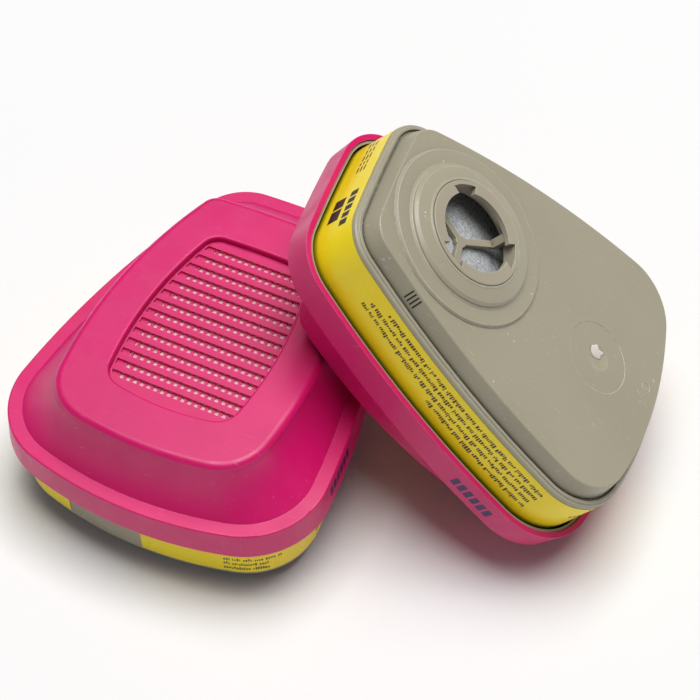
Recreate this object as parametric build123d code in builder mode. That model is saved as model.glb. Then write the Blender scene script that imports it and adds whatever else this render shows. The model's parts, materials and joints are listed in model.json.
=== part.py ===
from build123d import *
import os
from math import cos, hypot, pi, radians, sin, sqrt

# A pair of half-mask respirator cartridges, each a particulate filter with a
# gas and vapour bed behind it.  One lies flat on its port, the other leans
# over it, face down.  Each cartridge is drawn once in its own frame:
#   origin   centre of the bayonet port, on the level of the rear plateau
#   +X       from the narrow end to the wide end
#   +Y       across
#   +Z       from the rear (port) to the front (intake)
# All sizes are millimetres.

os.makedirs("parts", exist_ok=True)

# ------------------------------------------------------------ outline family
# Every outline is eight tangent arcs, symmetric about the X axis:
# (corner x, corner y, corner radius) at the narrow end, the same at the wide
# end, then the radii of the side arcs, the wide-end arc and the narrow-end arc.
REAR = (-16.7, 14.1, 9.0, 54.5, 23.4, 16.1, 260.0, 104.0, 375.0)
FRONT = (-10.5, 19.05, 4.95, 53.5, 16.2, 15.7, 138.0, 107.5, 250.0)
WINDOW = (3.2, 11.2, 5.0, 48.5, 12.6, 6.6, 110.0, 70.0, 200.0)

# --------------------------------------------------------- driving dimensions
CUP_WALL = 1.8
CUP_GROOVE_Z = 5.4  # crease round the foot of the rear plateau
CUP_RIM_Z = 4.7  # top of the rim's inner ridge
CUP_STEP_Z = 5.15  # top of the rounded shoulder outside the ridge
CUP_SIDE_Z = 6.5  # where the side wall and the label start
CUP_END_Z = 26.0  # open end of the cup, inside the cap
CUP_RIDGE_GROW = 2.95
CUP_RIM_GROW = 3.8
CUP_END_GROW = 4.45

SKIRT_Z = 20.2  # rear edge of the cap's skirt
FLANGE_Z = 28.9  # front face of the cap's flange
SKIRT_GROW = 7.7
FLANGE_GROW = 7.1
DISH_GROW = 3.35  # inner edge of the flange, where the dished wall starts
PLATEAU_Z = 43.85  # front plateau
PLATEAU_ROUND = 2.2
DISH_START_DEG = 56.0  # the wall's profile is this stretch of an ellipse
DISH_END_DEG = 78.0
CAP_WALL = 1.8

STEP_1_R = 25.2  # first raised ring round the port
STEP_1_Z = -0.85
STEP_2_R = 19.9  # second raised ring
STEP_2_Z = -2.5
COLLAR_R = 14.95  # hole for the port insert
COLLAR_Z = -3.45
PORT_Z = -3.8  # the port's sealing lip, the rearmost face
PORT_R = 11.3  # bore through the lip
PORT_SLEEVE_R = 13.6
PORT_OUTER_R = 14.8
PORT_LIP = 1.6
PORT_DEPTH_Z = 0.9  # inner end of the sleeve
NOTCH_R = 13.55
NOTCH_ANGLES = (-131.0, -11.0, 109.0)
NOTCH_BORE_DEG = 29.0  # width of each notch at the bore
NOTCH_OUTER_DEG = 35.0  # and at its outer end
STOP_ANGLES = (-39.0, 81.0, 201.0)
SPIDER_Z = 2.6
SPIDER_THICK = 1.5
SPIDER_ARM = 1.8

FLEECE_Z = 6.45
SWELL_R = 15.5
SWELL_Z = SPIDER_Z + SPIDER_THICK + 0.1  # crown of the fleece, behind the spider

GRILLE_DEPTH = 1.9  # grille face below the front plateau
BAR_THICK = 0.9
RIB_THICK = 0.5
SLOT_COUNT = 14
SLOT_PITCH = 3.755
SLOT_WIDTH = 1.9
FIRST_SLOT_X = 2.1
RIB_COUNT = 19
RIB_PITCH = 2.05
RIB_WIDTH = 0.8
LAND_INSET = 1.7
LAND_SHIFT = 1.0

GRILLE_TOP_Z = PLATEAU_Z - GRILLE_DEPTH
BAR_BACK_Z = GRILLE_TOP_Z - BAR_THICK
RIB_BACK_Z = BAR_BACK_Z - RIB_THICK
LEDGE_Z = RIB_BACK_Z - 0.7

LID_RIM_Z = 20.7
LID_RIM_GROW = 5.9

LABEL_THICK = 0.14
LABEL_END_Z = 23.6
LABEL_GAP_Y = (-20.6, 2.6)  # bare stretch of wall between the label's ends

GATE_X = 50.8
GATE_R = 4.2


# ------------------------------------------------------------------ placement
# The lying cartridge rests on the rim of its port and the wide end of its rear
# plateau, so it tips towards that end.  The leaning one stands on the wide end
# of its flange, face down, and rests its front on the lying one's upper edge.
# The origins centre the pair on X and Y and set its lowest points at Z = 0.
TIP_DEG = 3.69
LYING = Plane(
    origin=(-34.152, 14.852, 4.7245),
    x_dir=(0.0, -cos(radians(TIP_DEG)), -sin(radians(TIP_DEG))),
    z_dir=(0.0, -sin(radians(TIP_DEG)), cos(radians(TIP_DEG))),
)
LEANING = Plane(
    origin=(24.669, 17.568, 78.383),
    x_dir=(0.753429, 0.095172, -0.650605),
    z_dir=(-0.643908, -0.093568, -0.759360),
)


def grown(shape, extra):
    """The same outline pushed outwards by extra, every arc staying tangent."""
    x1, y1, r1, x2, y2, r2, side, wide, narrow = shape
    return (x1, y1, r1 + extra, x2, y2, r2 + extra, side + extra, wide + extra, narrow + extra)


def blended(first, second, share):
    """An outline part of the way from the first to the second."""
    return tuple(a + (b - a) * share for a, b in zip(first, second))


def arc_between(centre, radius, start, end):
    """Three points of an arc about centre, from the start to the end direction."""
    middle = (start[0] + end[0], start[1] + end[1])
    length = hypot(*middle)
    middle = (middle[0] / length, middle[1] / length)
    return [(centre[0] + radius * d[0], centre[1] + radius * d[1]) for d in (start, middle, end)]


def direction(start, end):
    """Unit vector from one point to another."""
    length = hypot(end[0] - start[0], end[1] - start[1])
    return ((end[0] - start[0]) / length, (end[1] - start[1]) / length)


def half_outline(shape):
    """The narrow corner, side and wide corner arcs of the +Y half, and its end arcs' halves."""
    x1, y1, r1, x2, y2, r2, side, wide, narrow = shape
    corner_1 = (x1, y1)
    corner_2 = (x2, y2)
    narrow_centre = (x1 + sqrt((narrow - r1) ** 2 - y1**2), 0.0)
    wide_centre = (x2 - sqrt((wide - r2) ** 2 - y2**2), 0.0)
    gap = hypot(x2 - x1, y2 - y1)
    along = ((side - r1) ** 2 - (side - r2) ** 2 + gap**2) / (2 * gap)
    across = sqrt((side - r1) ** 2 - along**2)
    unit = direction(corner_1, corner_2)
    side_centre = (
        x1 + along * unit[0] + across * unit[1],
        y1 + along * unit[1] - across * unit[0],
    )
    to_narrow = direction(narrow_centre, corner_1)
    to_side_1 = direction(side_centre, corner_1)
    to_side_2 = direction(side_centre, corner_2)
    to_wide = direction(wide_centre, corner_2)
    return [
        arc_between(narrow_centre, narrow, (-1.0, 0.0), to_narrow),
        arc_between(corner_1, r1, to_narrow, to_side_1),
        arc_between(side_centre, side, to_side_1, to_side_2),
        arc_between(corner_2, r2, to_side_2, to_wide),
        arc_between(wide_centre, wide, to_wide, (1.0, 0.0)),
    ]


def outline(shape):
    """A face bounded by the eight-arc outline."""
    with BuildSketch() as sketch:
        with BuildLine():
            for points in half_outline(shape):
                ThreePointArc(*points)
            for points in half_outline(shape):
                ThreePointArc(*[(x, -y) for x, y in points])
        make_face()
    return sketch.sketch


def dish_sections(lower, upper, low_z, high_z, steps):
    """Outlines and heights of the cap's wall, which steepens up to the plateau."""
    start, end = radians(DISH_START_DEG), radians(DISH_END_DEG)
    sections = []
    for step in range(steps + 1):
        angle = start + (end - start) * step / steps
        share = (sin(angle) - sin(start)) / (sin(end) - sin(start))
        rise = (cos(start) - cos(angle)) / (cos(start) - cos(end))
        sections.append((blended(lower, upper, share), low_z + (high_z - low_z) * rise))
    return sections


def sector(inner_r, outer_r, centre_deg, inner_deg, outer_deg):
    """A notch-shaped face: inner_deg wide at inner_r, outer_deg wide at outer_r."""
    def at(radius, degrees):
        turn = radians(centre_deg + degrees)
        return (radius * cos(turn), radius * sin(turn))

    with BuildSketch() as sketch:
        with BuildLine():
            Line(at(inner_r, -inner_deg / 2), at(outer_r, -outer_deg / 2))
            ThreePointArc(
                at(outer_r, -outer_deg / 2), at(outer_r, 0), at(outer_r, outer_deg / 2)
            )
            Line(at(outer_r, outer_deg / 2), at(inner_r, inner_deg / 2))
            Line(at(inner_r, inner_deg / 2), at(inner_r, -inner_deg / 2))
        make_face()
    return sketch.sketch


# ------------------------------------------------------------------ rear cup
with BuildPart() as cup:
    # side wall, drafted towards the front
    with BuildSketch(Plane.XY.offset(CUP_SIDE_Z)):
        add(outline(grown(REAR, CUP_RIM_GROW)))
    with BuildSketch(Plane.XY.offset(CUP_END_Z)):
        add(outline(grown(REAR, CUP_END_GROW)))
    loft(ruled=True)
    # rounded shoulder, then the low ridge inside it
    with BuildSketch(Plane.XY.offset(CUP_STEP_Z)):
        add(outline(grown(REAR, CUP_RIM_GROW)))
    extrude(amount=CUP_SIDE_Z - CUP_STEP_Z)
    fillet(cup.faces().sort_by(Axis.Z)[0].edges(), radius=0.7)
    with BuildSketch(Plane.XY.offset(CUP_RIM_Z)):
        add(outline(grown(REAR, CUP_RIDGE_GROW)))
    extrude(amount=CUP_SIDE_Z - CUP_RIM_Z)
    fillet(cup.faces().sort_by(Axis.Z)[0].edges(), radius=0.3)
    # crease between the rim and the plateau
    with BuildSketch(Plane.XY.offset(CUP_RIM_Z - 0.1)):
        add(outline(grown(REAR, 2.1)))
    extrude(amount=CUP_GROOVE_Z - CUP_RIM_Z + 0.1, mode=Mode.SUBTRACT)
    # rear plateau with its drafted wall
    with BuildSketch(Plane.XY):
        add(outline(REAR))
    with BuildSketch(Plane.XY.offset(CUP_GROOVE_Z + 0.2)):
        add(outline(grown(REAR, 1.55)))
    loft(ruled=True)
    fillet(cup.faces().sort_by(Axis.Z)[0].edges(), radius=0.5)
    # raised rings round the port
    with BuildSketch(Plane.XZ):
        with BuildLine():
            Polyline(
                (0, 0.6),
                (STEP_1_R, 0.6),
                (STEP_1_R, -0.25),
                (STEP_1_R - 0.5, STEP_1_Z),
                (STEP_2_R + 0.9, STEP_1_Z),
                (STEP_2_R + 0.25, STEP_1_Z - 0.3),
                (STEP_2_R, STEP_1_Z - 0.9),
                (STEP_2_R - 0.75, STEP_2_Z + 0.1),
                (STEP_2_R - 1.5, STEP_2_Z - 0.1),
                (COLLAR_R + 0.8, COLLAR_Z + 0.25),
                (COLLAR_R + 0.35, COLLAR_Z),
                (0, COLLAR_Z),
                close=True,
            )
        make_face()
    revolve(axis=Axis.Z)
    # hollow inside
    with BuildSketch(Plane.XY.offset(CUP_SIDE_Z + 0.9)):
        add(outline(grown(REAR, CUP_RIM_GROW - CUP_WALL)))
    with BuildSketch(Plane.XY.offset(CUP_END_Z)):
        add(outline(grown(REAR, CUP_END_GROW - CUP_WALL)))
    loft(ruled=True, mode=Mode.SUBTRACT)
    with BuildSketch(Plane.XY.offset(CUP_WALL)):
        add(outline(grown(REAR, -1.6)))
    with BuildSketch(Plane.XY.offset(CUP_SIDE_Z + 0.9)):
        add(outline(grown(REAR, -0.1)))
    loft(ruled=True, mode=Mode.SUBTRACT)
    # hole for the port insert
    with BuildSketch(Plane.XY.offset(COLLAR_Z - 0.1)):
        Circle(COLLAR_R)
    extrude(amount=CUP_WALL - COLLAR_Z + 0.2, mode=Mode.SUBTRACT)
    # shallow witness disc and moulding gate at the wide end
    with BuildSketch(Plane.XY.offset(-0.01)):
        with Locations((GATE_X, 0)):
            Circle(10.4)
    extrude(amount=0.11, mode=Mode.SUBTRACT)
    with Locations((GATE_X, 0, -8.2)):
        Sphere(9.2, mode=Mode.SUBTRACT)
    # plenum ribs that hold the fleece off the floor
    with BuildSketch(Plane.XY.offset(CUP_WALL - 0.1)):
        with Locations((43.0, 0)):
            with GridLocations(0, 9.0, 1, 6):
                Rectangle(44.0, 1.2)
        with Locations((-20.5, 0)):
            with GridLocations(0, 9.0, 1, 2):
                Rectangle(4.0, 1.2)
    extrude(amount=6.4 - CUP_WALL + 0.1)

# --------------------------------------------------------------- port insert
with BuildPart() as bayonet_port:
    with BuildSketch(Plane.XY.offset(PORT_Z)):
        Circle(PORT_OUTER_R)
    extrude(amount=PORT_DEPTH_Z - PORT_Z)
    fillet(bayonet_port.faces().sort_by(Axis.Z)[0].edges(), radius=0.35)
    # bore through the lip, then the wider sleeve the lugs turn in
    with BuildSketch(Plane.XY.offset(PORT_Z)):
        Circle(PORT_R)
    extrude(amount=PORT_LIP, mode=Mode.SUBTRACT)
    with BuildSketch(Plane.XY.offset(PORT_Z + PORT_LIP)):
        Circle(PORT_SLEEVE_R)
    extrude(amount=PORT_DEPTH_Z - PORT_Z - PORT_LIP, mode=Mode.SUBTRACT)
    # three entry notches
    with BuildSketch(Plane.XY.offset(PORT_Z)):
        for notch_angle in NOTCH_ANGLES:
            add(sector(PORT_R * 0.96, NOTCH_R, notch_angle, NOTCH_BORE_DEG, NOTCH_OUTER_DEG))
    extrude(amount=PORT_LIP, mode=Mode.SUBTRACT)
    # ramps under the lip, just past each notch
    with BuildSketch(Plane.XY.offset(PORT_Z + PORT_LIP)):
        for notch_angle in NOTCH_ANGLES:
            add(sector(PORT_R + 0.9, PORT_SLEEVE_R + 0.2, notch_angle + 60, 42, 42))
    extrude(amount=0.8)
    # stop posts
    with BuildSketch(Plane.XY.offset(PORT_Z + PORT_LIP)):
        for stop_angle in STOP_ANGLES:
            with Locations(Rotation(0, 0, stop_angle)):
                with Locations((PORT_R + 1.35, 0)):
                    Rectangle(2.4, 2.2)
    extrude(amount=SPIDER_Z - 0.04 - PORT_Z - PORT_LIP)

with BuildPart() as port_spider:
    with BuildSketch(Plane.XY.offset(SPIDER_Z)):
        for stop_angle in STOP_ANGLES:
            with Locations(Rotation(0, 0, stop_angle)):
                with Locations((PORT_R / 2 + 1.1, 0)):
                    Rectangle(PORT_R + 2.2, SPIDER_ARM)
        Circle(1.7)
    extrude(amount=SPIDER_THICK)

# ------------------------------------------------------- sorbent bed, fleece
with BuildPart() as rear_fleece:
    with BuildSketch(Plane.XY.offset(FLEECE_Z)):
        add(outline(grown(REAR, -0.5)))
    extrude(amount=0.95)
    # it swells into the port, up to the spider
    swell_rise = FLEECE_Z + 0.2 - SWELL_Z
    swell_radius = (SWELL_R**2 + swell_rise**2) / (2 * swell_rise)
    with BuildPart(mode=Mode.PRIVATE) as swell:
        with Locations((0, 0, SWELL_Z + swell_radius)):
            Sphere(swell_radius)
        with Locations((0, 0, SWELL_Z - 1)):
            Cylinder(
                SWELL_R * 1.2,
                swell_rise + 1,
                align=(Align.CENTER, Align.CENTER, Align.MIN),
                mode=Mode.INTERSECT,
            )
    add(swell.part)

with BuildPart() as carbon_bed:
    with BuildSketch(Plane.XY.offset(7.5)):
        add(outline(grown(REAR, CUP_RIM_GROW - CUP_WALL - 0.1)))
    with BuildSketch(Plane.XY.offset(21.8)):
        add(outline(grown(REAR, 2.4)))
    loft(ruled=True)

with BuildPart() as front_fleece:
    with BuildSketch(Plane.XY.offset(21.85)):
        add(outline(grown(REAR, 2.4)))
    extrude(amount=1.1)

with BuildPart() as carbon_lid:
    with BuildSketch(Plane.XY.offset(23.0)):
        add(outline(grown(REAR, 2.4)))
    extrude(amount=4.0)
    with BuildSketch(Plane.XY.offset(24.6)):
        add(outline(grown(REAR, 0.9)))
    extrude(amount=2.6, mode=Mode.SUBTRACT)
    # flange over the cup's end, with a rim turned down inside the cap's skirt
    with BuildSketch(Plane.XY.offset(CUP_END_Z + 0.02)):
        add(outline(grown(REAR, LID_RIM_GROW)))
        add(outline(grown(REAR, 1.2)), mode=Mode.SUBTRACT)
    extrude(amount=1.0)
    with BuildSketch(Plane.XY.offset(LID_RIM_Z)):
        add(outline(grown(REAR, LID_RIM_GROW)))
        add(outline(grown(REAR, LID_RIM_GROW - 0.75)), mode=Mode.SUBTRACT)
    extrude(amount=CUP_END_Z + 0.5 - LID_RIM_Z)
    # perforations
    with BuildSketch(Plane.XY.offset(22.9)):
        with Locations((22.0, 0)):
            with GridLocations(6.6, 4.4, 12, 9):
                SlotOverall(5.0, 1.5)
    extrude(amount=1.9, mode=Mode.SUBTRACT)

# ------------------------------------------------- particulate filter, cream
with BuildPart() as media_seal:
    seal_outline = blended(grown(REAR, DISH_GROW - CAP_WALL), grown(FRONT, -CAP_WALL), 0.34)
    with BuildSketch(Plane.XY.offset(27.25)):
        add(outline(grown(seal_outline, -0.1)))
        add(outline(grown(WINDOW, 0.8)), mode=Mode.SUBTRACT)
    extrude(amount=2.6)

with BuildPart() as pleated_media:
    with BuildSketch(Plane.XY.offset(29.9)):
        add(outline(grown(WINDOW, 2.6)))
    extrude(amount=8.0)
    # pleats along the bars, open alternately to the front and to the back
    with BuildSketch(Plane.XZ):
        with Locations((26.5, 37.9)):
            with GridLocations(4.4, 0, 12, 1):
                Polygon((-1.7, 0.3), (1.7, 0.3), (0, -6.6), align=None)
        with Locations((26.5, 29.9)):
            with GridLocations(4.4, 0, 11, 1):
                Polygon((-1.7, -0.3), (1.7, -0.3), (0, 6.6), align=None)
    extrude(amount=60, both=True, mode=Mode.SUBTRACT)

with BuildPart() as prefilter_felt:
    with BuildSketch(Plane.XY.offset(37.95)):
        add(outline(grown(WINDOW, 1.2)))
    extrude(amount=LEDGE_Z - 0.05 - 37.95)
    # the middle presses up through the cap's frame, against the ribs
    with BuildSketch(Plane.XY.offset(LEDGE_Z - 0.1)):
        with Locations((0, LAND_SHIFT)):
            add(outline(grown(WINDOW, -LAND_INSET)))
    extrude(amount=RIB_BACK_Z - 0.05 - LEDGE_Z + 0.1)

# -------------------------------------------------------------- front grille
with BuildPart() as intake_grille:
    with BuildSketch(Plane.XY.offset(BAR_BACK_Z)):
        add(outline(grown(WINDOW, -0.04)))
    extrude(amount=BAR_THICK)
    # slots between the bars
    with BuildSketch(Plane.XY.offset(BAR_BACK_Z)):
        with Locations((FIRST_SLOT_X + SLOT_PITCH * (SLOT_COUNT - 1) / 2, 0)):
            with GridLocations(SLOT_PITCH, 0, SLOT_COUNT, 1):
                Rectangle(SLOT_WIDTH, 60)
        add(outline(grown(WINDOW, -0.6)), mode=Mode.INTERSECT)
    extrude(amount=BAR_THICK, mode=Mode.SUBTRACT)
    # fine ribs across the back of the bars, inside a border that is wide at -Y
    with BuildSketch(Plane.XY.offset(RIB_BACK_Z)):
        with Locations((26.0, 0)):
            with GridLocations(0, RIB_PITCH, 1, RIB_COUNT):
                Rectangle(70.0, RIB_WIDTH)
        add(outline(grown(WINDOW, -0.3)), mode=Mode.INTERSECT)
    extrude(amount=RIB_THICK)
    with BuildSketch(Plane.XY.offset(RIB_BACK_Z)):
        add(outline(grown(WINDOW, -0.04)))
        with Locations((0, LAND_SHIFT)):
            add(outline(grown(WINDOW, -LAND_INSET)), mode=Mode.SUBTRACT)
    extrude(amount=RIB_THICK)

# ----------------------------------------------------------------- front cap
with BuildPart() as front_cap:
    # skirt and flange
    with BuildSketch(Plane.XY.offset(SKIRT_Z)):
        add(outline(grown(REAR, SKIRT_GROW)))
    with BuildSketch(Plane.XY.offset(FLANGE_Z)):
        add(outline(grown(REAR, FLANGE_GROW)))
    loft(ruled=True)
    fillet(front_cap.faces().sort_by(Axis.Z)[-1].edges(), radius=0.5)
    # dished wall up to the plateau, then the plateau's rounded edge
    for section, height in dish_sections(
        grown(REAR, DISH_GROW + 0.3), FRONT, FLANGE_Z - 0.4, PLATEAU_Z - PLATEAU_ROUND, 5
    ):
        with BuildSketch(Plane.XY.offset(height)):
            add(outline(section))
    loft()
    with BuildSketch(Plane.XY.offset(PLATEAU_Z - PLATEAU_ROUND)):
        add(outline(FRONT))
    extrude(amount=PLATEAU_ROUND)
    fillet(front_cap.faces().sort_by(Axis.Z)[-1].edges(), radius=PLATEAU_ROUND - 0.05)
    # hollow inside
    with BuildSketch(Plane.XY.offset(SKIRT_Z)):
        add(outline(grown(REAR, 6.05)))
    with BuildSketch(Plane.XY.offset(FLANGE_Z - CAP_WALL)):
        add(outline(grown(REAR, 6.05)))
    loft(ruled=True, mode=Mode.SUBTRACT)
    for section, height in dish_sections(
        grown(REAR, DISH_GROW - CAP_WALL),
        grown(FRONT, -CAP_WALL),
        FLANGE_Z - CAP_WALL - 0.3,
        PLATEAU_Z - CAP_WALL,
        5,
    ):
        with BuildSketch(Plane.XY.offset(height)):
            add(outline(section))
    loft(mode=Mode.SUBTRACT)
    # frame round the grille, with a ledge that the grille sits on
    with BuildSketch(Plane.XY.offset(LEDGE_Z)):
        add(outline(grown(WINDOW, 1.4)))
    extrude(amount=PLATEAU_Z - CAP_WALL + 0.2 - LEDGE_Z)
    with BuildSketch(Plane.XY.offset(RIB_BACK_Z - 0.02)):
        add(outline(WINDOW))
    extrude(amount=PLATEAU_Z - RIB_BACK_Z + 0.02, mode=Mode.SUBTRACT)
    with BuildSketch(Plane.XY.offset(LEDGE_Z)):
        add(outline(grown(WINDOW, -0.6)))
    extrude(amount=RIB_BACK_Z - LEDGE_Z, mode=Mode.SUBTRACT)
    # rounded lip of the window
    window_lip = front_cap.faces().sort_by(Axis.Z)[-1].inner_wires()[0].edges()
    fillet(window_lip, radius=0.7)

# --------------------------------------------------------------------- label
with BuildPart() as label_band:
    with BuildSketch(Plane.XY.offset(CUP_SIDE_Z + 0.05)):
        add(outline(grown(REAR, CUP_RIM_GROW + LABEL_THICK)))
    with BuildSketch(Plane.XY.offset(LABEL_END_Z)):
        add(outline(grown(REAR, 4.372 + LABEL_THICK)))
    loft(ruled=True)
    with BuildSketch(Plane.XY.offset(CUP_SIDE_Z)):
        add(outline(grown(REAR, CUP_RIM_GROW)))
    with BuildSketch(Plane.XY.offset(CUP_END_Z)):
        add(outline(grown(REAR, CUP_END_GROW)))
    loft(ruled=True, mode=Mode.SUBTRACT)
    # the label's two ends stop short of each other at the wide end
    with BuildSketch(Plane.XY.offset(CUP_SIDE_Z)):
        with Locations((80.0, sum(LABEL_GAP_Y) / 2)):
            Rectangle(30.0, LABEL_GAP_Y[1] - LABEL_GAP_Y[0])
    extrude(amount=CUP_END_Z - CUP_SIDE_Z, mode=Mode.SUBTRACT)

# ----------------------------------------------------------------- placement
PIECES = {
    "cup": cup,
    "bayonet_port": bayonet_port,
    "port_spider": port_spider,
    "rear_fleece": rear_fleece,
    "carbon_bed": carbon_bed,
    "front_fleece": front_fleece,
    "carbon_lid": carbon_lid,
    "media_seal": media_seal,
    "pleated_media": pleated_media,
    "prefilter_felt": prefilter_felt,
    "intake_grille": intake_grille,
    "front_cap": front_cap,
    "label_band": label_band,
}

for side, seat in (("lying", LYING), ("leaning", LEANING)):
    for piece_name, piece in PIECES.items():
        with BuildPart() as placed:
            with Locations(seat.location):
                add(piece.part)
        placed.part.label = f"{side}_{piece_name}"
        export_step(placed.part, f"parts/{side}_{piece_name}.step")
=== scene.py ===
"""Looks of a pair of respirator filter cartridges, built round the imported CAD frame.

Each cartridge has its own frame: origin at the centre of its bayonet port on the rear plateau's
level, x towards the wide end, z towards the front. Lengths in that frame are in millimetres here
and are turned into metres by the cartridge's matrix.
"""

import json
import math
import random

import bpy
from mathutils import Matrix, Vector
from mathutils.bvhtree import BVHTree


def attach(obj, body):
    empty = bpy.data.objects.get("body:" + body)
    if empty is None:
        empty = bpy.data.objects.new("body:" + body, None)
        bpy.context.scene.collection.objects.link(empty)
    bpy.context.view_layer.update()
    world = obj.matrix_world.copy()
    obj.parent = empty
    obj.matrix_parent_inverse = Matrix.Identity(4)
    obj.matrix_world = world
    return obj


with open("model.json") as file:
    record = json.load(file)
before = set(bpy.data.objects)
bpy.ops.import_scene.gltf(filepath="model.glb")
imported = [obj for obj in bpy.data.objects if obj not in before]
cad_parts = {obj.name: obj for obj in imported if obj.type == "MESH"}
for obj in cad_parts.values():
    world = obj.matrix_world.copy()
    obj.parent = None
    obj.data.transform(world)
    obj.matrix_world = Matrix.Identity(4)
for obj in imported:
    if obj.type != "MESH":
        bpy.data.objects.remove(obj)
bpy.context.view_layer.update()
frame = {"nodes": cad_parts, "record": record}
NODES = frame["nodes"]
MOUNTS = {mount["name"]: mount for mount in frame["record"]["mounts"]}
SIDES = ("lying", "leaning")
MM = 0.001

BORE_MID_Z = -3.0  # middle of the port's bore
SEAL_SPOKE = math.radians(-71.0)  # direction of the seal mount from the port's centre


def seat_matrix(side):
    """The cartridge's own frame, in millimetres, from its two port mounts."""
    bore, seal = MOUNTS[f"{side}_port_bore"], MOUNTS[f"{side}_port_seal_face"]
    z = -Vector(bore["axis"]).normalized()
    spoke = Vector(seal["pos_m"]) - Vector(bore["pos_m"])
    spoke = (spoke - z * spoke.dot(z)).normalized()
    x = Matrix.Rotation(-SEAL_SPOKE, 3, z) @ spoke
    y = z.cross(x)
    origin = Vector(bore["pos_m"]) - z * BORE_MID_Z * MM
    turn = Matrix((x, y, z)).transposed().to_4x4()
    return Matrix.Translation(origin) @ turn @ Matrix.Scale(MM, 4)


SEATS = {side: seat_matrix(side) for side in SIDES}


# ------------------------------------------------------------------ materials
class Finish:
    """A node material with one principled shader, built in a few lines."""

    def __init__(self, name):
        self.material = bpy.data.materials.new(name)
        self.material.use_nodes = True
        self.tree = self.material.node_tree
        self.tree.nodes.clear()
        self.shader = self.add("ShaderNodeBsdfPrincipled")
        output = self.add("ShaderNodeOutputMaterial")
        self.tree.links.new(self.shader.outputs[0], output.inputs["Surface"])
        self.where = self.add("ShaderNodeTexCoord").outputs["Object"]

    def add(self, kind, inputs=None, **settings):
        """A node, its settings, and its inputs, each either a number or another node's output."""
        node = self.tree.nodes.new(kind)
        for key, value in settings.items():
            setattr(node, key, value)
        for key, value in (inputs or {}).items():
            if isinstance(value, bpy.types.NodeSocket):
                self.tree.links.new(value, node.inputs[key])
            else:
                node.inputs[key].default_value = value
        return node

    def set(self, **values):
        """The shader's inputs by name, with _ for a space."""
        for key, value in values.items():
            name = key.replace("_", " ")
            if isinstance(value, bpy.types.NodeSocket):
                self.tree.links.new(value, self.shader.inputs[name])
            else:
                self.shader.inputs[name].default_value = value

    def noise(self, per_mm, detail=3.0, roughness=0.55, stretch=None):
        """Noise of about per_mm features in a millimetre."""
        where = self.where
        if stretch:
            where = self.add("ShaderNodeMapping", {0: where, "Scale": stretch}).outputs[0]
        inputs = {"Vector": where, "Scale": per_mm / MM, "Detail": detail, "Roughness": roughness}
        return self.add("ShaderNodeTexNoise", inputs).outputs["Fac"]

    def cells(self, per_mm, randomness=1.0):
        """Distance to the nearest of about per_mm scattered points in a millimetre."""
        inputs = {"Vector": self.where, "Scale": per_mm / MM, "Randomness": randomness}
        return self.add("ShaderNodeTexVoronoi", inputs).outputs["Distance"]

    def band(self, value, low, high, out_low=0.0, out_high=1.0):
        """A smooth step from out_low at low to out_high at high."""
        inputs = {0: value, 1: low, 2: high, 3: out_low, 4: out_high}
        return self.add("ShaderNodeMapRange", inputs, interpolation_type="SMOOTHSTEP").outputs[0]

    def math(self, operation, first, second=0.0):
        return self.add("ShaderNodeMath", {0: first, 1: second}, operation=operation).outputs[0]

    def blend(self, share, first, second):
        """Colour first where share is 0, second where it is 1."""
        node = self.add("ShaderNodeMix", data_type="RGBA")
        for key, value in (("Factor", share), ("A", first), ("B", second)):
            socket = [s for s in node.inputs if s.name == key and s.enabled][0]
            if isinstance(value, bpy.types.NodeSocket):
                self.tree.links.new(value, socket)
            else:
                socket.default_value = value
        return [s for s in node.outputs if s.enabled][0]

    def edges(self, radius_mm):
        """(normal with rounded edges, mask that is 1 on a sharp edge)."""
        rounded = self.add("ShaderNodeBevel", {"Radius": radius_mm * MM}, samples=4).outputs[0]
        plain = self.add("ShaderNodeNewGeometry").outputs["Normal"]
        dot = self.add("ShaderNodeVectorMath", {0: rounded, 1: plain}, operation="DOT_PRODUCT")
        return rounded, self.band(dot.outputs["Value"], 0.997, 0.92)

    def crevice_shade(self, reach_mm):
        """Share of painted shade from ambient occlusion: 1 far inside a groove or under an
        overhang, 0 on an open face.
        """
        inputs = {"Distance": reach_mm * MM}
        open_share = self.add("ShaderNodeAmbientOcclusion", inputs, samples=4).outputs["AO"]
        return self.band(open_share, 0.25, 0.85, 1.0, 0.0)

    def bump(self, height, depth_mm, strength=1.0, normal=None):
        """A normal tilted by height, depth_mm deep."""
        inputs = {"Height": height, "Distance": depth_mm * MM, "Strength": strength}
        if normal:
            inputs["Normal"] = normal
        return self.add("ShaderNodeBump", inputs).outputs[0]


def rgba(red, green, blue):
    """Linear colour of an sRGB colour given in 0-255."""

    def linear(value):
        value /= 255.0
        return value / 12.92 if value <= 0.04045 else ((value + 0.055) / 1.055) ** 2.4

    return (linear(red), linear(green), linear(blue), 1.0)


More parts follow.
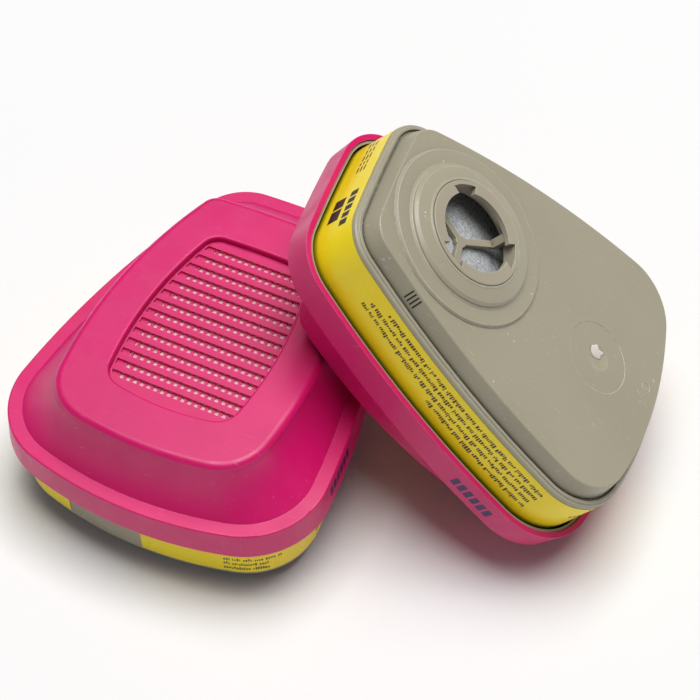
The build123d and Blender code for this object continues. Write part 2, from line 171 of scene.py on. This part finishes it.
def moulded(
    name, colour, dark, wear_and_highlight, shade_colour, roughness, grain_mm, specks=0.0, shade=0.7, sheltered_shade=0.0, glow=0.0
):
    """Injection-moulded plastic: clouded colour, painted shade in its crevices and on its sheltered
    sides, fine grain, edges lightened as rubbed wear and painted highlight.

    dark is in its clouds, the pale colour on its edges, scratches and dust, and the shade colour in
    its crevices as painted shade. specks is how strong its stuck dust is, shade and the sheltered
    share how much painted shade its grooves and its sheltered sides get, and glow how translucent
    it is.
    """
    f = Finish(name)
    cloud = f.band(f.noise(0.03, 2.0), 0.35, 0.68)
    fleck = f.band(f.noise(1.6, 2.0), 0.55, 0.75)
    base = f.blend(f.math("MULTIPLY", cloud, 0.30), colour, dark)
    base = f.blend(f.math("MULTIPLY", fleck, 0.16), base, dark)
    # painted shade: sheltered sides darkened towards the shade colour over a 14 mm reach, grooves
    # over 3 mm
    if sheltered_shade:
        base = f.blend(f.math("MULTIPLY", f.crevice_shade(14.0), sheltered_shade), base, shade_colour)
    if shade:
        base = f.blend(f.math("MULTIPLY", f.crevice_shade(3.0), shade), base, shade_colour)
    # edges lightened in patches towards the pale colour: rubbed wear and painted highlight along
    # sharp edges
    rounded, mask = f.edges(0.22)
    edge_wear_and_highlight = f.math("MULTIPLY", mask, f.band(f.noise(0.35, 3.0), 0.30, 0.65, 0.45, 0.95))
    base = f.blend(edge_wear_and_highlight, base, wear_and_highlight)
    if specks:
        dust = f.band(f.cells(0.45), 0.115, 0.07)
        sparse = f.band(f.noise(0.11, 2.0), 0.60, 0.66, 0.0, specks)
        base = f.blend(f.math("MULTIPLY", dust, sparse), base, wear_and_highlight)
    scratch = f.band(f.noise(0.22, 4.0, 0.7, (1.0, 9.0, 2.0)), 0.63, 0.70)
    base = f.blend(f.math("MULTIPLY", scratch, 0.26), base, wear_and_highlight)
    gloss = f.band(f.noise(0.12, 3.0), 0.3, 0.7, roughness - 0.05, roughness + 0.07)
    fine = f.math("ADD", f.noise(3.2, 2.0), f.math("MULTIPLY", f.noise(0.5, 2.0), 0.8))
    normal = f.bump(fine, grain_mm, 0.9, rounded)
    f.set(Base_Color=base, Roughness=gloss, Normal=normal, IOR=1.49)
    if glow:
        radius = (1.0, 0.12, 0.35)
        f.set(Subsurface_Weight=glow, Subsurface_Scale=1.5 * MM, Subsurface_Radius=radius)
    return f.material


def printed_film(name, colour, dark, wear_and_highlight):
    """Glossy printed label stock with a faint screen texture, painted shade in its crevices, and
    lifted edges lightened as rubbed wear and painted highlight.
    """
    f = Finish(name)
    cloud = f.band(f.noise(0.05, 3.0), 0.35, 0.7)
    base = f.blend(f.math("MULTIPLY", cloud, 0.22), colour, dark)
    screen = f.band(f.cells(2.6, randomness=0.4), 0.25, 0.6)
    base = f.blend(f.math("MULTIPLY", screen, 0.05), base, dark)
    # painted shade: darker brown in crevices, such as along the gap by the lid rim
    base = f.blend(f.math("MULTIPLY", f.crevice_shade(2.5), 0.85), base, rgba(46, 34, 4))
    # edges lightened towards the pale colour: rubbed wear and painted highlight
    rounded, mask = f.edges(0.12)
    base = f.blend(f.math("MULTIPLY", mask, 0.3), base, wear_and_highlight)
    gloss = f.band(f.noise(0.2, 3.0), 0.3, 0.7, 0.27, 0.38)
    wave = f.math("ADD", f.noise(0.06, 1.0), f.math("MULTIPLY", f.noise(2.0, 2.0), 0.05))
    f.set(Base_Color=base, Roughness=gloss, Normal=f.bump(wave, 0.05, 0.5, rounded), IOR=1.48)
    return f.material


def fleece(name, colour, dark, dust, dust_share):
    """Nonwoven: tangled fibres with specks of dust caught in them."""
    f = Finish(name)
    strands = f.noise(0.9, 5.0, 0.7, (1.0, 3.5, 1.6))
    across = f.noise(0.8, 5.0, 0.7, (3.8, 1.0, 2.2))
    mat = f.math("MULTIPLY", f.math("ADD", strands, across), 0.5)
    base = f.blend(f.band(mat, 0.40, 0.60), dark, colour)
    speck = f.band(f.cells(1.5), 0.30, 0.16)
    speck = f.math("MULTIPLY", speck, f.band(f.noise(0.5, 2.0), 0.48, 0.60, 0.0, dust_share))
    base = f.blend(speck, base, dust)
    normal = f.bump(mat, 0.5, 0.9)
    f.set(Base_Color=base, Roughness=0.95, Normal=normal)
    f.set(Sheen_Weight=0.25, Sheen_Roughness=0.5)
    return f.material


def granules(name):
    """Packed black carbon grains."""
    f = Finish(name)
    grain = f.cells(0.75)
    base = f.blend(f.band(f.noise(0.8, 2.0), 0.4, 0.7), rgba(24, 23, 23), rgba(62, 60, 58))
    gloss = f.band(f.noise(1.2, 2.0), 0.35, 0.7, 0.35, 0.8)
    f.set(Base_Color=base, Roughness=gloss, Normal=f.bump(grain, -0.8, 1.0))
    return f.material


def paper(name, colour, dark):
    """Matt glass-fibre paper or felt with a soft surface."""
    f = Finish(name)
    fibre = f.noise(1.3, 5.0, 0.65, (1.0, 2.4, 1.4))
    base = f.blend(f.band(fibre, 0.36, 0.62), dark, colour)
    f.set(Base_Color=base, Roughness=0.93, Normal=f.bump(fibre, 0.25, 0.8), Sheen_Weight=0.15)
    return f.material


def potting(name):
    """Poured sealing compound, slightly wavy."""
    f = Finish(name)
    base = f.blend(f.band(f.noise(0.15, 3.0), 0.3, 0.7), rgba(226, 220, 204), rgba(200, 190, 170))
    f.set(Base_Color=base, Roughness=0.5, Normal=f.bump(f.noise(0.3, 2.0), 0.3, 0.6))
    return f.material


def ink(name, colour, faded, opacity_break):
    """Printed ink, thinner in places."""
    f = Finish(name)
    base = f.blend(f.band(f.noise(2.2, 3.0), opacity_break, opacity_break + 0.2), colour, faded)
    normal = f.bump(f.noise(3.0, 2.0), 0.01, 0.5)
    f.set(Base_Color=base, Roughness=0.45, Normal=normal)
    return f.material


# colour, its clouds, its pale colour for worn and highlighted edges, scratches and dust, its
# painted shade
PINKS = (rgba(214, 16, 108), rgba(188, 10, 90), rgba(244, 122, 176), rgba(100, 2, 44))
GREYS = (rgba(167, 160, 139), rgba(150, 143, 122), rgba(242, 238, 226), rgba(64, 58, 44))
TORN_GREYS = (rgba(226, 220, 212), rgba(150, 140, 124), rgba(240, 236, 230), rgba(90, 82, 70))
PORT_GREYS = (rgba(170, 162, 141), rgba(156, 146, 128), rgba(238, 232, 220), rgba(52, 46, 36))
LID_GREYS = (rgba(188, 180, 160), rgba(158, 149, 128), rgba(214, 208, 192), rgba(80, 74, 62))

MAGENTA = moulded("cap_magenta", *PINKS, 0.37, 0.008, glow=0.2)
GRILLE = moulded("grille_magenta", *PINKS, 0.40, 0.008, shade=0.0, glow=0.45)
GREY = moulded("cup_grey", *GREYS, 0.35, 0.012, specks=0.9, sheltered_shade=0.42)
TORN = moulded("torn_grey", *TORN_GREYS, 0.36, 0.03)
PORT_GREY = moulded("port_grey", *PORT_GREYS, 0.35, 0.010)
LID_GREY = moulded("lid_grey", *LID_GREYS, 0.45, 0.012)
YELLOW = printed_film("label_yellow", rgba(253, 230, 0), rgba(246, 200, 0), rgba(254, 242, 120))
REAR_FLEECE = fleece(
    "fleece_blue_grey", rgba(222, 224, 226), rgba(158, 162, 166), rgba(40, 38, 37), 0.85
)
MEDIA = paper("media_cream", rgba(238, 226, 206), rgba(214, 200, 176))
FELT = paper("felt_cream", rgba(255, 206, 214), rgba(244, 166, 178))
SEAL = potting("seal_white")
CARBON = granules("carbon_black")
LABEL_INK = ink("label_ink", rgba(66, 52, 14), rgba(104, 84, 16), 0.50)
BOLD_INK = ink("bold_ink", rgba(34, 28, 12), rgba(56, 46, 14), 0.62)
MARK_INK = ink("mark_ink", rgba(14, 13, 12), rgba(40, 37, 33), 0.62)
VIOLET_INK = ink("violet_ink", rgba(56, 8, 84), rgba(108, 20, 96), 0.55)

FINISHES = {
    "cup": GREY,
    "bayonet_port": PORT_GREY,
    "port_spider": PORT_GREY,
    "rear_fleece": REAR_FLEECE,
    "carbon_bed": CARBON,
    "front_fleece": REAR_FLEECE,
    "carbon_lid": LID_GREY,
    "media_seal": SEAL,
    "pleated_media": MEDIA,
    "prefilter_felt": FELT,
    "intake_grille": GRILLE,
    "front_cap": MAGENTA,
    "label_band": YELLOW,
}
for side in SIDES:
    for piece, material in FINISHES.items():
        mesh = NODES[f"{side}_{piece}"].data
        mesh.materials.clear()
        mesh.materials.append(material)


# ------------------------------------------------------------- added pieces
def add_piece(name, side, vertices, faces, material, smooth):
    """A mesh in the cartridge's own millimetres, put in its place and riding on it."""
    mesh = bpy.data.meshes.new(name)
    mesh.from_pydata([SEATS[side] @ Vector(v) for v in vertices], [], faces)
    mesh.materials.append(material)
    mesh.validate()
    for polygon in mesh.polygons:
        polygon.use_smooth = smooth
    piece = bpy.data.objects.new(name, mesh)
    bpy.context.scene.collection.objects.link(piece)
    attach(piece, f"{side}_cartridge")


class Wall:
    """The outside of a node, followed round its port's axis: at(s, z) is a point and normal."""

    RAY_START = 140.0
    STEPS = 1440

    def __init__(self, side, piece, level):
        mesh = NODES[f"{side}_{piece}"].data
        self.side = side
        inverse = SEATS[side].inverted()
        points = [inverse @ vertex.co for vertex in mesh.vertices]
        self.tree = BVHTree.FromPolygons(points, [list(face.vertices) for face in mesh.polygons])
        self.turns, self.lengths, self.points = [], [], []
        length, last = 0.0, None
        for step in range(self.STEPS + 1):
            turn = 2 * math.pi * step / self.STEPS
            hit = self.cast(turn, level)
            if hit is None:
                last = None
                continue
            if last is not None:
                length += (hit[0] - last).length
            last = hit[0]
            self.turns.append(turn)
            self.lengths.append(length)
            self.points.append(hit[0])

    def cast(self, turn, z):
        """Where a ray towards the axis at that height meets the node."""
        out = Vector((math.cos(turn), math.sin(turn), 0.0))
        start = out * self.RAY_START + Vector((0.0, 0.0, z))
        point, normal = self.tree.ray_cast(start, -out, self.RAY_START)[:2]
        return None if point is None else (point, normal)

    def near(self, x, y):
        """Length along the wall at the point nearest (x, y)."""
        here = Vector((x, y))
        return min(zip(self.points, self.lengths), key=lambda p: (p[0].xy - here).length)[1]

    def at(self, s, z):
        """Point and normal at length s along the wall and height z."""
        low, high = 0, len(self.lengths) - 1
        while high - low > 1:
            middle = (low + high) // 2
            if self.lengths[middle] <= s:
                low = middle
            else:
                high = middle
        span = self.lengths[high] - self.lengths[low]
        share = (s - self.lengths[low]) / span if span else 0.0
        turn = self.turns[low] + (self.turns[high] - self.turns[low]) * share
        return self.cast(turn, z)


class Print:
    """Thin printed patches gathered into one mesh that rides on a cartridge."""

    THICK = 0.03
    SUNK = 0.01

    def __init__(self, wall):
        self.wall, self.vertices, self.faces = wall, [], []

    def patch(self, s0, s1, z0, z1, step=1.0):
        """A closed patch from s0 to s1 along the wall and z0 to z1 up it."""
        s0, s1 = sorted((s0, s1))
        columns = max(1, math.ceil((s1 - s0) / step))
        first = len(self.vertices)
        for column in range(columns + 1):
            s = s0 + (s1 - s0) * column / columns
            for z in (z0, z1):
                point, normal = self.wall.at(s, z)
                self.vertices.append(point - normal * self.SUNK)
                self.vertices.append(point + normal * self.THICK)
        for column in range(columns):
            a = first + 4 * column
            b = a + 4
            self.faces += [(a + 1, b + 1, b + 3, a + 3), (a, a + 2, b + 2, b)]
            self.faces += [(a, b, b + 1, a + 1), (a + 2, a + 3, b + 3, b + 2)]
        end = first + 4 * columns
        self.faces += [(first, first + 1, first + 3, first + 2), (end, end + 2, end + 3, end + 1)]

    def bars(self, s, widths, gap, bands, step=1.0):
        """Solid bars from s on, each in every band of heights. Widths and gap below 0 run back."""
        for width in widths:
            for z0, z1 in bands:
                self.patch(s, s + width, z0, z1, step)
            s += width + gap

    def finish(self, name, material):
        """The patches as one piece."""
        side = self.wall.side
        add_piece(f"{side}_{name}", side, self.vertices, self.faces, material, smooth=False)


WORD_LENGTHS = (3, 4, 6, 8, 11)
BLOCK_WIDTHS = (0.28, 0.42, 0.42, 0.55)
BLOCK_FEET = (0.0, 0.0, 0.0, 0.2)  # shares of the line's height cut off a block's foot
BLOCK_HEADS = (0.0, 0.25, 0.3, 0.45)  # and off its head
BLOCK_GAP = 0.24
WORD_GAP = 0.55


def text_line(target, s_from, s_to, z, height, seed):
    """A line of placeholder text: word-like groups of small blocks, nothing legible."""
    rng = random.Random(seed)
    direction = 1.0 if s_to > s_from else -1.0
    end, run = abs(s_to - s_from), 0.0
    while run < end:
        for _ in range(rng.choice(WORD_LENGTHS)):
            width = rng.choice(BLOCK_WIDTHS)
            if run + width > end:
                return
            low = z - height / 2 + rng.choice(BLOCK_FEET) * height
            high = z + height / 2 - rng.choice(BLOCK_HEADS) * height
            start = s_from + direction * run
            target.patch(start, start + direction * width, low, high)
            run += width + BLOCK_GAP
        run += WORD_GAP


BEHIND_Z = -20.0  # clear of the port, the rearmost part


def rear_ray(tree, x, y):
    """Where a line along the port's axis meets a cartridge from behind."""
    return tree.ray_cast(Vector((x, y, BEHIND_Z)), Vector((0.0, 0.0, 1.0)))[0]


STUB_CENTRE = (50.2, -1.7)
STUB_RADII = (2.4, 1.9)
STUB_HEIGHT = 0.62
STUB_SUNK = 0.05


def gate_vestige(side, tree):
    """The broken-off stub of the moulding gate, whitened where it tore, in its dimple."""
    rng = random.Random(5)
    rings, spokes = 6, 28
    lobes = [rng.uniform(-0.10, 0.10) for _ in range(5)]
    vertices, faces = [], []
    for ring in range(rings + 1):
        share = ring / rings
        for spoke in range(spokes):
            turn = 2 * math.pi * spoke / spokes
            wobble = 1 + sum(v * math.cos((k + 2) * turn + k) for k, v in enumerate(lobes))
            x = STUB_CENTRE[0] + STUB_RADII[0] * (1 - share) * wobble * math.cos(turn)
            y = STUB_CENTRE[1] + STUB_RADII[1] * (1 - share) * wobble * math.sin(turn)
            rough = rng.uniform(-0.04, 0.04) * share
            lift = STUB_HEIGHT * math.sin(0.5 * math.pi * share) + rough
            z = rear_ray(tree, x, y).z + (STUB_SUNK if ring == 0 else -lift)
            vertices.append((x, y, z))
    for ring in range(rings):
        for spoke in range(spokes):
            a, b = ring * spokes + spoke, ring * spokes + (spoke + 1) % spokes
            faces.append((a, a + spokes, b + spokes, b))
    faces.append(tuple(reversed([rings * spokes + k for k in range(spokes)])))
    faces.append(tuple(range(spokes)))
    add_piece(f"{side}_gate_vestige", side, vertices, faces, TORN, smooth=True)


MARK_CENTRE = (69.0, -4.0)
MARK_RADIUS = 1.5
MARK_CORNERS = 36
MARK_STROKES = (  # the bar in the ring, then two strokes beside it
    ((68.4, -4.6), (69.0, -4.0), (69.6, -3.4)),
    ((66.4, -1.2), (67.4, -0.4), (68.4, 0.4)),
    ((71.2, -7.6), (70.6, -8.6)),
)
RIDGE_SECTION = ((-0.17, -0.02), (0.0, 0.10), (0.17, -0.02))  # across the ridge, out of the wall


def cavity_mark(side, tree):
    """A small raised ring with a bar in it, the mould cavity's mark."""
    vertices, faces = [], []

    def ridge(points, closed):
        """A low ridge of triangular section along points."""
        first, count = len(vertices), len(points)
        for k, (x, y) in enumerate(points):
            ahead = points[(k + 1) % count] if closed or k + 1 < count else points[k]
            behind = points[k - 1] if closed or k > 0 else points[k]
            along = Vector((ahead[0] - behind[0], ahead[1] - behind[1])).normalized()
            z = rear_ray(tree, x, y).z
            for shift, lift in RIDGE_SECTION:
                vertices.append((x - along.y * shift, y + along.x * shift, z - lift))
        spans = count if closed else count - 1
        for k in range(spans):
            a, b = first + 3 * k, first + 3 * ((k + 1) % count)
            faces.extend([(a, a + 1, b + 1, b), (a + 1, a + 2, b + 2, b + 1)])
            faces.append((a + 2, a, b, b + 2))
        if not closed:
            end = first + 3 * (count - 1)
            faces.extend([(first, first + 2, first + 1), (end, end + 1, end + 2)])

    turns = [2 * math.pi * k / MARK_CORNERS for k in range(MARK_CORNERS)]
    x, y = MARK_CENTRE
    ridge([(x + MARK_RADIUS * math.cos(t), y + MARK_RADIUS * math.sin(t)) for t in turns], True)
    for stroke in MARK_STROKES:
        ridge(stroke, False)
    add_piece(f"{side}_cavity_mark", side, vertices, faces, GREY, smooth=False)


# the label's lines run from near one point to near another, at a height
LONG_LINES = (
    ((54.5, 43.5), (-7.0, 29.5), 9.2),
    ((54.5, 43.5), (-12.5, 29.5), 11.7),
    ((54.0, 43.5), (-14.5, 29.5), 14.2),
    ((54.5, 43.5), (15.5, 38.0), 16.7),
)
NOTES = (
    ((74.6, 26.0), (66.5, 39.5), 12.8),
    ((74.6, 26.0), (69.0, 36.9), 10.6),
    ((74.6, 26.0), (69.0, 36.9), 8.4),
)
TEXTS = ((LONG_LINES, 1.5, 11), (NOTES, 1.3, 31))  # lines, their height, the first one's seed
NARROW_END_X = -29.9

for side in SIDES:
    label = Wall(side, "label_band", 12.0)
    lines = Print(label)
    for rows, height, seed in TEXTS:
        for number, (start, end, z) in enumerate(rows):
            text_line(lines, label.near(*start), label.near(*end), z, height, seed + number)
    lines.finish("label_lines", LABEL_INK)

    bold = Print(label)
    bold.bars(label.near(NARROW_END_X, 5.0), (-3.6, -4.4), -0.6, ((13.6, 17.6),))
    bold.bars(label.near(NARROW_END_X, 4.0), (-2.0,) * 5, -0.7, ((9.2, 12.0),))
    bold.finish("label_bold", BOLD_INK)

    light = Print(label)
    bands = ((11.2, 11.75), (12.6, 13.15), (14.0, 14.55))
    light.bars(label.near(NARROW_END_X, -4.5), (2.1, 1.2, 2.1, 1.6, 2.1), 0.8, bands)
    light.finish("label_light", LABEL_INK)

    plateau = Wall(side, "cup", 2.5)
    marks = Print(plateau)
    marks.bars(plateau.near(-8.6, 27.6), (-0.42,) * 4, -0.7, ((0.75, 3.9),), step=0.2)
    marks.finish("index_marks", MARK_INK)
    gate_vestige(side, plateau.tree)
    cavity_mark(side, plateau.tree)

    skirt = Wall(side, "front_cap", 25.0)
    code = Print(skirt)
    code.bars(skirt.near(51.0, 46.4), (1.7,) * 6, 0.8, ((23.4, 26.4),), step=0.4)
    code.finish("ink_code", VIOLET_INK)


# ------------------------------------------------------- floor, light, camera
FLOOR_HALF = 8.0
KEY_PLACE = (0.10, 0.39, 3.2)
KEY_AIM = (0.0, 0.0, 0.03)
KEY_WATTS = 122.0
KEY_SIZE = 2.42
SKY_STRENGTH = 0.14

floor_mesh = bpy.data.meshes.new("floor")
corners = [(x * FLOOR_HALF, y * FLOOR_HALF, 0) for x, y in ((-1, -1), (1, -1), (1, 1), (-1, 1))]
floor_mesh.from_pydata(corners, [], [(0, 1, 2, 3)])
floor = bpy.data.objects.new("floor", floor_mesh)
bpy.context.scene.collection.objects.link(floor)
paint = Finish("floor_white")
tint = paint.blend(paint.noise(0.004, 2.0), rgba(236, 236, 236), rgba(240, 240, 240))
paint.set(Base_Color=tint, Roughness=0.9)
floor_mesh.materials.append(paint.material)

world = bpy.data.worlds.new("studio")
world.use_nodes = True
world.node_tree.nodes["Background"].inputs["Color"].default_value = (1.0, 1.0, 1.0, 1.0)
world.node_tree.nodes["Background"].inputs["Strength"].default_value = SKY_STRENGTH
bpy.context.scene.world = world
bpy.context.scene.view_settings.view_transform = "Standard"

key = bpy.data.lights.new("key", "AREA")
key.energy, key.size = KEY_WATTS, KEY_SIZE
lamp = bpy.data.objects.new("key", key)
lamp.location = KEY_PLACE
lamp.rotation_euler = (Vector(KEY_AIM) - Vector(KEY_PLACE)).to_track_quat("-Z", "Y").to_euler()
bpy.context.scene.collection.objects.link(lamp)

# the camera, in the lying cartridge's own frame
CAMERA_PLACE = (331.0, 191.1, 500.6)
CAMERA_RIGHT = (-0.43227, 0.90170, -0.00859)
CAMERA_DOWN = (0.71938, 0.33909, -0.60623)
LENS_MM = 110.33

seat = SEATS["lying"]
turn = seat.to_3x3().normalized()
right = (turn @ Vector(CAMERA_RIGHT)).normalized()
down = turn @ Vector(CAMERA_DOWN)
down = (down - right * down.dot(right)).normalized()
camera = bpy.data.objects.new("camera", bpy.data.cameras.new("camera"))
camera.data.lens = LENS_MM
camera.data.sensor_width = 36.0
camera.matrix_world = Matrix.Translation(seat @ Vector(CAMERA_PLACE)) @ (
    Matrix((right, -down, -right.cross(down))).transposed().to_4x4()
)
camera.data.clip_start, camera.data.clip_end = 0.01, 20.0
bpy.context.scene.collection.objects.link(camera)
bpy.context.scene.camera = camera
